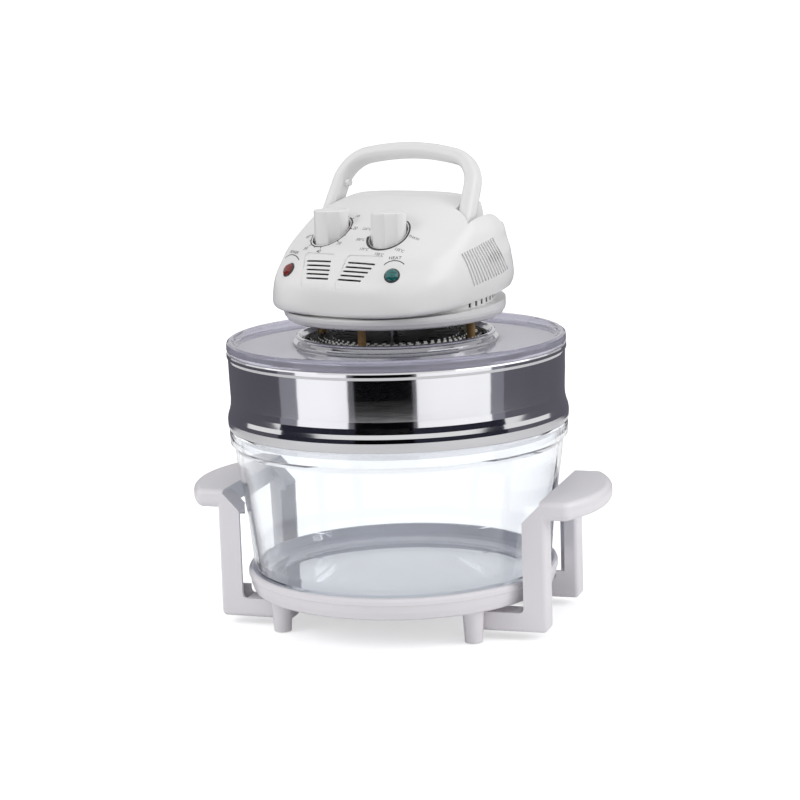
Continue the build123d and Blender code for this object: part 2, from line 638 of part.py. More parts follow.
def side_fin_cuts():
    """Grooves on both flanks, fanned a little towards the back."""
    cuts = []
    for i in range(FIN_COUNT):
        share = i / (FIN_COUNT - 1)
        y_top, z_top = -27 + 50 * share, 369.5 + 9.5 * share
        y_low, z_low = -15 + 63 * share, 337.5 + 8.0 * share
        for s in (-1, 1):
            top = Vector(s * flank_x(y_top, z_top), y_top, z_top)
            low = Vector(s * flank_x(y_low, z_low), y_low, z_low)
            along = Plane(origin=(top + low) / 2, x_dir=(s, 0, 0.1), z_dir=top - low)
            cuts.append(along * Box(2 * FIN_DEPTH, 2.2, (top - low).length))
    return cuts


def lamp_place(sign):
    aim = Rot(0, 0, sign * LAMP_AZIMUTH) * Rot(90 - LAMP_RISE, 0, 0)
    return Pos(sign * LAMP_X, LAMP_Y, LAMP_Z) * aim


def head_cover():
    outer = dome(0)
    room = swing_room(SWING_GAP)
    fields = louvre_fields()
    outer -= (fields[0] + fields[1]) - dome(0.5)
    hollow = dome(COVER_WALL) - swing_room(SWING_GAP + COVER_WALL)
    hollow -= [rod(4.2, BASE_Z, 430, xy) for xy in circle_points(COVER_BOSS_R, 4, 45)]
    cuts = [tilted_slab(PART_Z, PART_TILT, 60), rod(PLUNGER_R + 0.3, 360, 400, (-LEG_X, PLUNGER_Y))]
    cuts += louvre_cuts() + side_fin_cuts()
    cuts += [rod(1.7, BASE_Z, BASE_Z + 32, xy) for xy in circle_points(COVER_BOSS_R, 4, 45)]
    for s in (-1, 1):
        cuts.append(rod(KNOB_HOLE_R, 366, 430, (s * KNOB_X, KNOB_Y)))
        cuts.append(lamp_place(s) * Cylinder(LAMP_R - 0.9, 40))
        cuts.append(Pos(s * LEG_X, PIVOT_Y, PIVOT_Z) * Rot(0, 90, 0) * Cylinder(PIN_R, 27))
    return ((outer - room) - hollow) - cuts


def cover_screws():
    low = BASE_Z + 1.4 - 2.2
    return group(Pos(x, y, low) * screw(3.6, 2.2, 1.7, 27.0) for x, y in circle_points(COVER_BOSS_R, 4, 45))


# Lift handle: one bent bar on two hubs, with a peg inside the left leg
def lift_handle():
    path = Plane.XZ * handle_path()
    start = Plane(origin=path @ 0, x_dir=(0, 1, 0), z_dir=path % 0)
    bar = sweep(start * RectangleRounded(BAR_D, BAR_W, BAR_ROUND), path)
    for s in (-1, 1):
        bar += Pos(s * LEG_X, 0, 0) * Rot(0, 90, 0) * Cylinder(HUB_R, BAR_W)
        bar -= Pos(s * LEG_X, 0, 0) * Rot(0, 90, 0) * Cylinder(PIN_R + RUNNING_GAP, BAR_W + 4)
    bar += Pos(-71.5, 0, PEG_S) * Rot(0, 90, 0) * Cylinder(PEG_R, 8)
    return to_pivot(HANDLE_TILT) * bar


def handle_pivots():
    pin = Rot(0, 90, 0) * Cylinder(PIN_R, 26)
    return group(Pos(s * LEG_X, PIVOT_Y, PIVOT_Z) * pin for s in (-1, 1))


def safety_switch():
    top = SWITCH_Z0 + 15.0
    box = block(-93, -74, SWITCH_Y - 10, SWITCH_Y + 10, SWITCH_Z0, top)
    box = fillet(box.edges().filter_by(Axis.Z), 1.5)
    return box - rod(PLUNGER_R + RUNNING_GAP, SWITCH_Z0 + 4, top + 1, (-LEG_X, SWITCH_Y))


def switch_plunger():
    plunger = rod(PLUNGER_R, SWITCH_Z0 + 7.0, PLUNGER_TOP, (-LEG_X, SWITCH_Y))
    return fillet(plunger.edges().group_by(Axis.Z)[-1], 0.8)


# Controls: two spindle units on a plate, fluted knobs that rise through round holes
def control_plate():
    top = UNIT_Z1 + 1.5
    plate = block(-56.9, 56.9, KNOB_Y - 21, KNOB_Y + 22, UNIT_Z1, top)
    for s in (-1, 1):
        plate -= rod(5.0, UNIT_Z1 - 1, top + 1, (s * KNOB_X, KNOB_Y))
        plate += block(s * 55.5, s * 56.9, KNOB_Y, KNOB_Y + 22, BASE_Z + 3, top)
        plate += block(s * 56.9, s * 68, KNOB_Y + 10, KNOB_Y + 22, BASE_Z + 3, BASE_Z + 4.5)
    return plate


def spindle_unit(x, depth):
    body = block(x - 21, x + 21, KNOB_Y - 21, KNOB_Y + 21, UNIT_Z1 - depth, UNIT_Z1)
    body = fillet(body.edges().filter_by(Axis.Z), 5)
    body += rod(5.0, UNIT_Z1 - 1, UNIT_Z1 + 6, (x, KNOB_Y))
    return body - rod(SPINDLE_R + RUNNING_GAP, UNIT_Z1 - 8, UNIT_Z1 + 8, (x, KNOB_Y))


def spindle(x):
    return rod(SPINDLE_R, UNIT_Z1 - 6, KNOB_Z1 - 6, (x, KNOB_Y))


def knob(x):
    """A straight barrel with four wide flutes and a softly rounded top."""
    barrel = rod(KNOB_R, KNOB_Z0, KNOB_Z1)
    for i in range(4):
        turn = math.radians(45 + 90 * i)
        reach = KNOB_R + FLUTE_R - FLUTE_DEPTH
        flute = rod(FLUTE_R, KNOB_Z0 - 1, KNOB_Z1 + 1, (reach * math.cos(turn), reach * math.sin(turn)))
        barrel -= flute
    top = barrel.edges().group_by(Axis.Z)[-1]
    barrel = fillet(top, 1.6)
    barrel -= rod(KNOB_R - 4.5, KNOB_Z0 - 1, KNOB_Z1 - 3)
    barrel += rod(6.0, KNOB_Z0, KNOB_Z1 - 2)
    return Pos(x, KNOB_Y, 0) * (barrel - rod(SPINDLE_R, KNOB_Z0 - 1, KNOB_Z1 - 6))


def thermostat_bulb():
    bulb = rod(BULB_R, PAN_Z1 - 20, PAN_Z1 + 2, (KNOB_X, KNOB_Y))
    return bulb + rod(1.1, PAN_Z1, UNIT_Z1 - 24, (KNOB_X, KNOB_Y))


# Signal lamps: a domed lens set in the panel, a holder clipped on behind it
def lamp_lens(sign):
    dome_part = Pos(0, 0, -4.6) * Sphere(LAMP_R + 1.2)
    lens = (dome_part & Cylinder(LAMP_R - 0.9, 30)) & Pos(0, 0, 3.0) * Cylinder(20, 10)
    return lamp_place(sign) * (lens - Pos(0, 0, -2.0) * Cylinder(LAMP_R - 2.4, 4.0))


def lamp_bodies():
    bodies = []
    for s in (-1, 1):
        holder = Pos(0, 0, -4.0) * Cylinder(LAMP_R - 0.9, 4.0)
        holder += Pos(0, 0, -9.0) * Cylinder(4.5, 8.0)
        holder += Pos(0, 0, -1.5) * Cylinder(LAMP_R - 2.5, 2.6)
        bodies.append(lamp_place(s) * holder)
    return group(bodies)


def gland_place():
    return Pos(0, BASE_R1 - 1.0, BASE_Z + 8.6) * Rot(-90, 0, 0)


def cord_gland():
    """The inlet sleeve for the supply lead at the back of the head base."""
    sleeve = Pos(0, 0, 3.0) * Cylinder(GLAND_R, 14) - Cylinder(3.5, 40)
    collar = Pos(0, 0, 4.5) * (Cylinder(GLAND_R + 1.5, 5.0) - Cylinder(GLAND_R - 1, 6))
    return gland_place() * (sleeve + collar)


def main():
    save("base_tray", base_tray())
    save("foot_pads", foot_pads())
    handle = side_handle()
    save("side_handle_right", handle)
    save("side_handle_left", mirror(handle, Plane.YZ))
    save("handle_screws", handle_screws())
    save("glass_bowl", glass_bowl())
    save("extension_ring", extension_ring())
    save_lid("lid_glass", lid_glass())
    save_lid("lid_collar", lid_collar())
    save_lid("lid_gasket", lid_gasket())
    save_lid("clamp_ring", clamp_ring())
    save_lid("heater_pan", heater_pan())
    save_lid("pan_screws", pan_screws())
    save_lid("heat_shield", heat_shield())
    save_lid("spacer_posts", spacer_posts())
    save_lid("post_screws", post_screws())
    save_lid("heating_element", heating_element())
    save_lid("element_bushes", element_bushes())
    save_lid("element_leads", element_leads())
    save_lid("wire_guard", wire_guard())
    save_lid("motor_shaft", motor_shaft())
    save_lid("convection_fan", convection_fan())
    save_lid("fan_nut", fan_nut())
    save_lid("cooling_fan", cooling_fan())
    save_lid("motor_stator", motor_stator())
    save_lid("motor_coil", motor_coil())
    save_lid("motor_rail", motor_rail())
    save_lid("motor_top_bridge", motor_top_bridge())
    save_lid("motor_bearings", motor_bearings())
    save_lid("rail_screws", rail_screws())
    save_lid("head_base", head_base())
    save_lid("head_cover", head_cover())
    save_lid("cover_screws", cover_screws())
    save_lid("lift_handle", lift_handle())
    save_lid("handle_pivots", handle_pivots())
    save_lid("safety_switch", safety_switch())
    save_lid("switch_plunger", switch_plunger())
    save_lid("control_plate", control_plate())
    save_lid("timer_unit", spindle_unit(-KNOB_X, 26))
    save_lid("timer_spindle", spindle(-KNOB_X))
    save_lid("timer_knob", knob(-KNOB_X))
    save_lid("thermostat_unit", spindle_unit(KNOB_X, 24))
    save_lid("thermostat_spindle", spindle(KNOB_X))
    save_lid("thermostat_knob", knob(KNOB_X))
    save_lid("thermostat_bulb", thermostat_bulb())
    save_lid("red_lamp_lens", lamp_lens(-1))
    save_lid("green_lamp_lens", lamp_lens(1))
    save_lid("lamp_bodies", lamp_bodies())
    save_lid("cord_gland", cord_gland())


main()
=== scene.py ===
# %% [markdown]
# A countertop convection oven, dressed for a studio picture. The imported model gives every
# solid piece its shape and place. This file gives each of them a finish, adds the thin
# printed marks that are too fine for a solid, and sets up a pale studio round the oven.

# %% Load the frame
import math

import bmesh
import bpy
from mathutils import Matrix, Vector
from mathutils.bvhtree import BVHTree


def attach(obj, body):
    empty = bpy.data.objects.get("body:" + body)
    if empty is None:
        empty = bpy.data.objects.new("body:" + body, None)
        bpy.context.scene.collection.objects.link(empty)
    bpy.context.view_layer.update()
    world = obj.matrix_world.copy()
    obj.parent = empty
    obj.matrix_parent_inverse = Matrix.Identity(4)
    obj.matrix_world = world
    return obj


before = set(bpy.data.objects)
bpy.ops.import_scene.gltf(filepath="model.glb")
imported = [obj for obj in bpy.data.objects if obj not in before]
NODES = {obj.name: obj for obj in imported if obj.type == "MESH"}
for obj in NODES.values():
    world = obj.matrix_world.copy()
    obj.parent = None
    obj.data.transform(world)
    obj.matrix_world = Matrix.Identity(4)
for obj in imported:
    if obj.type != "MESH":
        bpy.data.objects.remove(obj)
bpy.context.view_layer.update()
MM = 0.001
print("nodes", len(NODES))

# %% [markdown]
# The camera comes first, because every later choice is judged through it. A long lens from
# a little above the lid keeps the bowl's sides nearly upright. Distance, height, pitch and
# the small roll are written in plain numbers, so the view can be set up again at any time.

# %% Camera
CAMERA_AZIMUTH = 18.25
CAMERA_DISTANCE = 2.2
CAMERA_HEIGHT = 0.6204
CAMERA_PITCH = 10.4
CAMERA_YAW = 0.05
CAMERA_ROLL = -1.92
LENS_MM, SENSOR_MM = 101.68, 36
FARTHEST = 50


def camera_matrix():
    pitch, yaw, roll = (math.radians(a) for a in (CAMERA_PITCH, CAMERA_YAW, CAMERA_ROLL))
    forward = Vector((math.sin(yaw) * math.cos(pitch),
                      math.cos(yaw) * math.cos(pitch),
                      -math.sin(pitch)))
    level = Vector((math.cos(yaw), -math.sin(yaw), 0))
    upward = level.cross(forward)
    right = math.cos(roll) * level + math.sin(roll) * upward
    up = -math.sin(roll) * level + math.cos(roll) * upward
    turn = Matrix.Rotation(math.radians(CAMERA_AZIMUTH), 4, "Z")
    view = Matrix((right, up, -forward)).transposed().to_4x4()
    return turn @ Matrix.Translation((0, -CAMERA_DISTANCE, CAMERA_HEIGHT)) @ view


camera = bpy.data.objects.new("camera", bpy.data.cameras.new("camera"))
camera.data.lens = LENS_MM
camera.data.sensor_width = SENSOR_MM
camera.data.clip_end = FARTHEST
camera.matrix_world = camera_matrix()
bpy.context.scene.collection.objects.link(camera)
bpy.context.scene.camera = camera
bpy.context.scene.view_settings.view_transform = "Standard"
print("camera at", [round(v, 3) for v in camera.matrix_world.translation])

# %% [markdown]
# Colours are written as the hex values that a paint chart would give. Blender's shaders work
# in linear light, so one function turns a hex value into linear numbers. A second small
# function adds any node with its settings and links, which keeps each material short.
# Every finish below is laid out in object space, so its pattern has a real size and stays put.


# %% Colour and node helpers
def linear(hex_value, alpha=1.0):
    numbers = [int(hex_value[i:i + 2], 16) / 255 for i in (1, 3, 5)]
    curve = [c / 12.92 if c <= 0.04045 else ((c + 0.055) / 1.055) ** 2.4 for c in numbers]
    return (*curve, alpha)


def add(tree, kind, values=None, links=None, **settings):
    """Adds a node, sets its attributes and input values, and links outputs to its inputs."""
    node = tree.nodes.new(kind)
    for name, value in settings.items():
        setattr(node, name, value)
    for name, value in (values or {}).items():
        node.inputs[name].default_value = value
    for name, output in (links or {}).items():
        tree.links.new(output, node.inputs[name])
    return node


def new_material(name):
    material = bpy.data.materials.new(name)
    material.use_nodes = True
    shader = material.node_tree.nodes["Principled BSDF"]
    return material, material.node_tree, shader


def dress(material, *names):
    """Gives CAD nodes their finish."""
    for name in names:
        slots = NODES[name].data.materials
        for i in range(max(1, len(slots))):
            if i < len(slots):
                slots[i] = material
            else:
                slots.append(material)
    print(material.name, "on", ", ".join(names))


print("the grey #808080 is", round(linear("#808080")[0], 3), "in linear light")

# %% [markdown]
# The head, the tray and the side handles are injection moulded ABS in a cool white. A polished
# mould gives ABS a clear gloss, with a faint waviness that bends reflections, and the colour
# is even but never perfectly flat. An image texture would need unwrapping and leave seams. Two
# noises in object space need neither: one shades the colour over some 70 mm, the other bends
# the gloss in waves 12 mm apart.


# %% White moulded ABS
TONE_MM, TONE_LOW = 71.4286, 0.965
ABS_IOR = 1.54


def moulded_white(name, hex_value, roughness, wave_mm, wave_height_mm):
    material, tree, shader = new_material(name)
    place = add(tree, "ShaderNodeTexCoord").outputs["Object"]
    tone = add(tree, "ShaderNodeTexNoise", {"Scale": 1000 / TONE_MM, "Detail": 3.0},
               {"Vector": place})
    base = Vector(linear(hex_value)[:3])
    shades = add(tree, "ShaderNodeValToRGB", links={"Fac": tone.outputs["Fac"]})
    shades.color_ramp.elements[0].color = (*(base * TONE_LOW), 1)
    shades.color_ramp.elements[1].color = (*base, 1)
    tree.links.new(shades.outputs["Color"], shader.inputs["Base Color"])
    wave = add(tree, "ShaderNodeTexNoise", {"Scale": 1000 / wave_mm, "Detail": 1.0},
               {"Vector": place})
    bump = add(tree, "ShaderNodeBump", {"Strength": 0.25, "Distance": wave_height_mm * MM},
               {"Height": wave.outputs["Fac"]})
    tree.links.new(bump.outputs["Normal"], shader.inputs["Normal"])
    shader.inputs["Roughness"].default_value = roughness
    shader.inputs["IOR"].default_value = ABS_IOR
    shader.inputs["Coat Weight"].default_value = 0.25
    shader.inputs["Coat Roughness"].default_value = 0.12
    return material


HEAD_WHITE = moulded_white("abs_head_white", "#EBEAEA", 0.3, 12, 0.05)
BASE_WHITE = moulded_white("abs_base_white", "#F0EDF1", 0.34, 12, 0.05)
dress(HEAD_WHITE, "head_cover", "head_base", "lift_handle", "timer_knob", "thermostat_knob")
dress(BASE_WHITE, "base_tray", "side_handle_left", "side_handle_right")

# %% [markdown]
# The bowl and the lid are pressed borosilicate glass, about 5 mm thick. Pressing leaves long
# soft waves in the wall, which is what makes real glass shimmer at its edges. The colour is a
# very faint blue grey, which adds up where the light crosses several walls. The lid is a little
# milky, as its top is finely textured, so its clearness is set lower. Such glass has an IOR of
# 1.47. It is drawn with about 1.2, matched to the oven's own walls, which hardly shift what
# stands behind them.


# %% Pressed glass
def pressed_glass(name, hex_value, roughness, wave_mm, ior, clearness, shine):
    material, tree, shader = new_material(name)
    place = add(tree, "ShaderNodeTexCoord").outputs["Object"]
    wave = add(tree, "ShaderNodeTexNoise", {"Scale": 1000 / wave_mm, "Detail": 1.0},
               {"Vector": place})
    bump = add(tree, "ShaderNodeBump", {"Strength": 0.12, "Distance": 0.3 * MM},
               {"Height": wave.outputs["Fac"]})
    tree.links.new(bump.outputs["Normal"], shader.inputs["Normal"])
    shader.inputs["Base Color"].default_value = linear(hex_value)
    shader.inputs["Roughness"].default_value = roughness
    shader.inputs["IOR"].default_value = ior
    shader.inputs["Transmission Weight"].default_value = clearness
    shader.inputs["Coat Weight"].default_value = shine
    shader.inputs["Coat Roughness"].default_value = 0.02
    # Shadow and diffuse rays go straight through, so the solids behind the glass stay lit
    ray = add(tree, "ShaderNodeLightPath")
    either = add(tree, "ShaderNodeMath", operation="MAXIMUM")
    tree.links.new(ray.outputs["Is Shadow Ray"], either.inputs[0])
    tree.links.new(ray.outputs["Is Diffuse Ray"], either.inputs[1])
    clear = add(tree, "ShaderNodeBsdfTransparent", {"Color": linear(hex_value)})
    mix = add(tree, "ShaderNodeMixShader", links={"Fac": either.outputs["Value"]})
    tree.links.new(shader.outputs["BSDF"], mix.inputs[1])
    tree.links.new(clear.outputs["BSDF"], mix.inputs[2])
    tree.links.new(mix.outputs["Shader"], tree.nodes["Material Output"].inputs["Surface"])
    return material


BOWL_GLASS = pressed_glass("borosilicate_bowl", "#F4F6F8", 0.02, 45, 1.22, 1.0, 1.0)
LID_GLASS = pressed_glass("borosilicate_lid", "#CCCBD8", 0.06, 60, 1.2, 0.68, 0.5)
dress(BOWL_GLASS, "glass_bowl")
dress(LID_GLASS, "lid_glass")

# %% [markdown]
# The extension ring and the lid's collar are stainless steel sheet, rolled and mirror polished.
# Polishing round the ring leaves hair fine marks along it, which stretch highlights upward. An
# anisotropic gloss could do that, but a noise drawn out round the ring also makes the polish
# uneven, as hand work does. Real marks are far too fine to show, so they are drawn 26 mm long
# and 1.4 mm apart. With other numbers the same function gives the metal of the inner parts.


# %% Polished stainless steel
MARK_STRETCH = 18.0


def polished_steel(name, hex_value, roughness, mark_mm, strength):
    material, tree, shader = new_material(name)
    place = add(tree, "ShaderNodeTexCoord").outputs["Object"]
    stretch = add(tree, "ShaderNodeMapping", {"Scale": (1.0, 1.0, MARK_STRETCH)}, {"Vector": place})
    marks = add(tree, "ShaderNodeTexNoise", {"Scale": 1000 / mark_mm, "Detail": 4.0},
                {"Vector": stretch.outputs["Vector"]})
    bump = add(tree, "ShaderNodeBump", {"Strength": strength, "Distance": 0.02 * MM},
               {"Height": marks.outputs["Fac"]})
    tree.links.new(bump.outputs["Normal"], shader.inputs["Normal"])
    spread = add(tree, "ShaderNodeMapRange", {"To Min": roughness * 0.8, "To Max": roughness * 1.4},
                 {"Value": marks.outputs["Fac"]})
    tree.links.new(spread.outputs["Result"], shader.inputs["Roughness"])
    shader.inputs["Base Color"].default_value = linear(hex_value)
    shader.inputs["Metallic"].default_value = 1.0
    return material


# A mirror polish shows the studio, and a mill finish blurs it into soft bands
MIRROR_STEEL = polished_steel("stainless_mirror_polished", "#D6D6D8", 0.07, 26, 0.1)
PLAIN_STEEL = polished_steel("stainless_mill_finish", "#A9A9AB", 0.32, 8, 0.4)
# Zinc plate is paler and warmer, and steel near the heater has browned and gone dull.
# On the heat shield that dark brown is also painted shade, for the dim neck round it
ZINC_STEEL = polished_steel("zinc_plated_steel", "#B4B4AE", 0.3, 4, 0.3)
HEAT_TINT_AND_SHADE_STEEL = polished_steel("heat_tint_and_painted_shade_steel", "#35302D", 0.55, 6, 0.5)
# Pressed aluminium is light and satin
PRESSED_ALUMINIUM = polished_steel("pressed_aluminium", "#C9CACC", 0.34, 6, 0.3)
dress(MIRROR_STEEL, "extension_ring", "lid_collar")
dress(PLAIN_STEEL, "heater_pan", "clamp_ring", "wire_guard", "motor_rail", "motor_top_bridge",
      "control_plate", "timer_spindle", "thermostat_spindle", "motor_shaft", "handle_pivots",
      "thermostat_bulb")
dress(ZINC_STEEL, "handle_screws", "pan_screws", "post_screws", "rail_screws", "cover_screws",
      "fan_nut")
# The heat shield's dark brown is partly painted shade for the dim neck
dress(HEAT_TINT_AND_SHADE_STEEL, "heating_element", "heat_shield")
dress(PRESSED_ALUMINIUM, "convection_fan")

# %% [markdown]
# The small parts have plain industrial finishes. They are grained with a noise at the scale of
# the real surface, so that even a terminal or a foot pad isn't one flat colour. Each could have
# a node tree of its own, but one function with a grain in millimetres serves them all. Grain
# finer than the picture can show is drawn as coarse as it needs to show.


# %% Plain grained finishes
def grained(name, hex_low, hex_high, grain_mm, roughness, depth_mm, metallic=0.0):
    material, tree, shader = new_material(name)
    place = add(tree, "ShaderNodeTexCoord").outputs["Object"]
    grain = add(tree, "ShaderNodeTexNoise", {"Scale": 1000 / grain_mm, "Detail": 5.0},
                {"Vector": place})
    shades = add(tree, "ShaderNodeValToRGB", links={"Fac": grain.outputs["Fac"]})
    shades.color_ramp.elements[0].position = 0.35
    shades.color_ramp.elements[1].position = 0.65
    shades.color_ramp.elements[0].color = linear(hex_low)
    shades.color_ramp.elements[1].color = linear(hex_high)
    tree.links.new(shades.outputs["Color"], shader.inputs["Base Color"])
    bump = add(tree, "ShaderNodeBump", {"Strength": 0.5, "Distance": depth_mm * MM},
               {"Height": grain.outputs["Fac"]})
    tree.links.new(bump.outputs["Normal"], shader.inputs["Normal"])
    shader.inputs["Roughness"].default_value = roughness
    shader.inputs["Metallic"].default_value = metallic
    return material


# Moulded rubber is dull and nearly black, and cured silicone has a soft sheen
PAD_RUBBER = grained("nitrile_rubber_pads", "#2A2A2C", "#38383A", 1.5, 0.75, 0.05)
SILICONE = grained("silicone_rubber", "#BDBDC2", "#CACACF", 2.0, 0.5, 0.02)
# Mica board is dry and tan, and steatite is a cream ceramic with a faint grit
TAN_BOARD = grained("mica_tan_spacer", "#8A6A3F", "#A38355", 3.0, 0.6, 0.05)
CERAMIC = grained("steatite_ceramic", "#D8CFBC", "#E6DFCF", 1.2, 0.6, 0.03)
# Stamped iron sheet is grey with a thin oxide, and varnished tape is amber with some gloss
STATOR_IRON = grained("laminated_electrical_steel", "#4C4C4F", "#626266", 0.8, 0.45, 0.05, 0.8)
COIL_TAPE = grained("varnished_coil_tape", "#A17B22", "#BE963A", 2.5, 0.45, 0.04)
# Sintered bronze is warm and porous
BRONZE = grained("sintered_bronze", "#9A6A3C", "#B3824E", 0.6, 0.4, 0.03, 1.0)
# Glass filled nylon is black with a satin grain, and turned acetal is slick
BLACK_NYLON = grained("black_glass_filled_nylon", "#141416", "#202023", 1.2, 0.5, 0.03)
RED_ACETAL = grained("red_acetal_plunger", "#8E1A14", "#A3231B", 2.0, 0.35, 0.01)
dress(PAD_RUBBER, "foot_pads")
dress(SILICONE, "lid_gasket", "element_leads")
dress(TAN_BOARD, "spacer_posts")
dress(CERAMIC, "element_bushes")
dress(STATOR_IRON, "motor_stator")
dress(COIL_TAPE, "motor_coil")
dress(BRONZE, "motor_bearings")
dress(BLACK_NYLON, "cooling_fan", "safety_switch", "timer_unit", "thermostat_unit", "lamp_bodies",
      "cord_gland")
dress(RED_ACETAL, "switch_plunger")

# %% [markdown]
# Each signal lamp has a lens of tinted acrylic with a fine moulded grid inside that spreads the
# light. The lamp isn't lit, so the colour is deep. The lighter spot in each cell of the grid is a
# painted highlight, for the light that each cell catches. The grid could be cut into the lens,
# but so small it reads the same as cells in the colour, here 2.4 mm wide.


# %% Tinted acrylic lenses
def lamp_acrylic(name, hex_dark, hex_cell_highlight, grid_mm):
    material, tree, shader = new_material(name)
    place = add(tree, "ShaderNodeTexCoord").outputs["Object"]
    cells = add(tree, "ShaderNodeTexVoronoi", {"Scale": 1000 / grid_mm}, {"Vector": place})
    shades = add(tree, "ShaderNodeValToRGB", links={"Fac": cells.outputs["Distance"]})
    # The lighter colour at the middle of each cell is a painted highlight
    shades.color_ramp.elements[0].color = linear(hex_cell_highlight)
    shades.color_ramp.elements[1].color = linear(hex_dark)
    tree.links.new(shades.outputs["Color"], shader.inputs["Base Color"])
    shader.inputs["Roughness"].default_value = 0.12
    shader.inputs["IOR"].default_value = 1.49
    shader.inputs["Coat Weight"].default_value = 0.4
    shader.inputs["Coat Roughness"].default_value = 0.04
    return material


dress(lamp_acrylic("red_acrylic_with_painted_highlight", "#470906", "#9A2118", 2.4), "red_lamp_lens")
dress(lamp_acrylic("green_acrylic_with_painted_highlight", "#022C2F", "#0A7572", 2.4), "green_lamp_lens")

# %% [markdown]
# The marks round the knobs and over the lamps are pad printed in dark grey ink, a few hundredths
# of a millimetre thick. An image texture would be quicker, but real faces keep their sharp edge
# at any size. The ink itself is dull and even. Its grain is drawn a millimetre wide, which is
# as fine as the picture can show.

# %% Printing ink
INK_GRAIN_MM = 1.1111
ink, ink_tree, ink_shader = new_material("pad_printed_ink")
ink_place = add(ink_tree, "ShaderNodeTexCoord").outputs["Object"]
ink_grain = add(ink_tree, "ShaderNodeTexNoise", {"Scale": 1000 / INK_GRAIN_MM},
                {"Vector": ink_place})
ink_shades = add(ink_tree, "ShaderNodeValToRGB", links={"Fac": ink_grain.outputs["Fac"]})
ink_shades.color_ramp.elements[0].color = linear("#29282B")
ink_shades.color_ramp.elements[1].color = linear("#363538")
ink_tree.links.new(ink_shades.outputs["Color"], ink_shader.inputs["Base Color"])
ink_shader.inputs["Roughness"].default_value = 0.45
print("ink grain", INK_GRAIN_MM, "mm")

# %% [markdown]
# A pad presses a flat drawing onto a curved moulding. The same is done here: each drawing lies
# flat before the cover, and a ray from each of its points finds the place where it lands. A
# shrinkwrap modifier could do it too, but a ray keeps to the drawing's own direction. The ink
# lies 0.12 mm proud, so that ink and plastic never share a surface.


# %% Dropping a drawing onto the cover
LID_TURN = math.radians(-17.75)
HEAD_TURN = Matrix.Rotation(LID_TURN, 4, "Z")
INK_LIFT = 0.12 * MM
DROP_HEIGHT, DROP_REACH = 30 * MM, 80 * MM


def surface_tree(name):
    """The solid surface of a CAD node, for dropping points onto it."""
    source = NODES[name]
    grid = bmesh.new()
    grid.from_mesh(source.data)
    grid.transform(source.matrix_world)
    tree = BVHTree.FromBMesh(grid)
    grid.free()
    return tree


COVER_SURFACE = surface_tree("head_cover")


def panel_frame(x_mm, y_mm, z_mm, azimuth_deg, rise_rad):
    """A flat drawing plane before the panel: x to the right, y up the slope, z outward."""
    turn = math.radians(azimuth_deg)
    outward = Vector((math.sin(turn) * math.cos(rise_rad),
                      -math.cos(turn) * math.cos(rise_rad),
                      math.sin(rise_rad)))
    right = Vector((math.cos(turn), math.sin(turn), 0))
    up = outward.cross(right)
    place = Matrix((right, up, outward)).transposed().to_4x4()
    place.translation = Vector((x_mm, y_mm, z_mm)) * MM
    return HEAD_TURN @ place


def drop_on_cover(grid, place):
    """Moves every vertex of a flat drawing along the drawing's z onto the cover."""
    outward = (place.to_3x3() @ Vector((0, 0, 1))).normalized()
    for vertex in grid.verts:
        start = place @ vertex.co + outward * DROP_HEIGHT
        hit = COVER_SURFACE.ray_cast(start, -outward, DROP_REACH)[0]
        vertex.co = hit + outward * INK_LIFT if hit else start - outward * DROP_HEIGHT


print("cover surface ready, head turned by", round(math.degrees(LID_TURN), 2), "degrees")

# %% [markdown]
# A printed mark is made of lines, arcs and letters. Curves with a bevel could draw the lines, but
# a ribbon of plain faces can swell or thin along its length, as the rings of both scales do. The
# letters come from Blender's own font and are turned into faces too.


# %% Ribbons, arcs and letters
def strip(grid, points, widths):
    """A flat ribbon through points in mm, with a width at each."""
    rails = []
    for i, (x, y) in enumerate(points):
        before, after = points[max(i - 1, 0)], points[min(i + 1, len(points) - 1)]
        along = Vector((after[0] - before[0], after[1] - before[1])).normalized()
        side = Vector((-along.y, along.x)) * widths[i] / 2
        rails.append([grid.verts.new(((x + s * side.x) * MM, (y + s * side.y) * MM, 0))
                      for s in (-1, 1)])
    for (a, b), (c, d) in zip(rails, rails[1:]):
        grid.faces.new((a, c, d, b))


def arc_points(radius, start_deg, end_deg, step_deg=4.0):
    """Points in mm along an arc, from one angle to another."""
    count = max(2, int(abs(end_deg - start_deg) / step_deg) + 1)
    sweep_deg = end_deg - start_deg
    angles = [math.radians(start_deg + sweep_deg * i / (count - 1)) for i in range(count)]
    return [(radius * math.cos(a), radius * math.sin(a)) for a in angles]


def lettering(grid, words, size_mm, x_mm, y_mm):
    """Adds words or numbers as flat faces, centred at a point of the drawing."""
    curve = bpy.data.curves.new("words", "FONT")
    curve.body = words
    curve.size = size_mm * MM
    curve.align_x = "CENTER"
    curve.align_y = "CENTER"
    curve.resolution_u = 3
    holder = bpy.data.objects.new("words", curve)
    flat = bpy.data.meshes.new_from_object(holder)
    flat.transform(Matrix.Translation((x_mm * MM, y_mm * MM, 0)))
    grid.from_mesh(flat)
    bpy.data.objects.remove(holder)
    bpy.data.meshes.remove(flat)


print("an arc of 90 degrees has", len(arc_points(1.0, 0, 90)), "points")

# %% [markdown]
# The cover belongs to the lid, which lifts off the ring, so whatever is added to it has to travel
# along.


# %% Pieces that ride on the lid
def lid_piece(name, grid, material):
    """Makes an object that rides on the lid."""
    mesh = bpy.data.meshes.new(name)
    grid.to_mesh(mesh)
    grid.free()
    mesh.materials.append(material)
    piece = bpy.data.objects.new(name, mesh)
    bpy.context.scene.collection.objects.link(piece)
    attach(piece, "lid")
    print(name, "has", len(mesh.polygons), "faces")


def print_mark(name, grid, place):
    """Drops a flat drawing onto the cover and makes it a printed piece."""
    bmesh.ops.triangulate(grid, faces=grid.faces)
    drop_on_cover(grid, place)
    lid_piece(name, grid, ink)


print("new pieces ride on the lid, whose solids include", NODES["head_cover"].name)

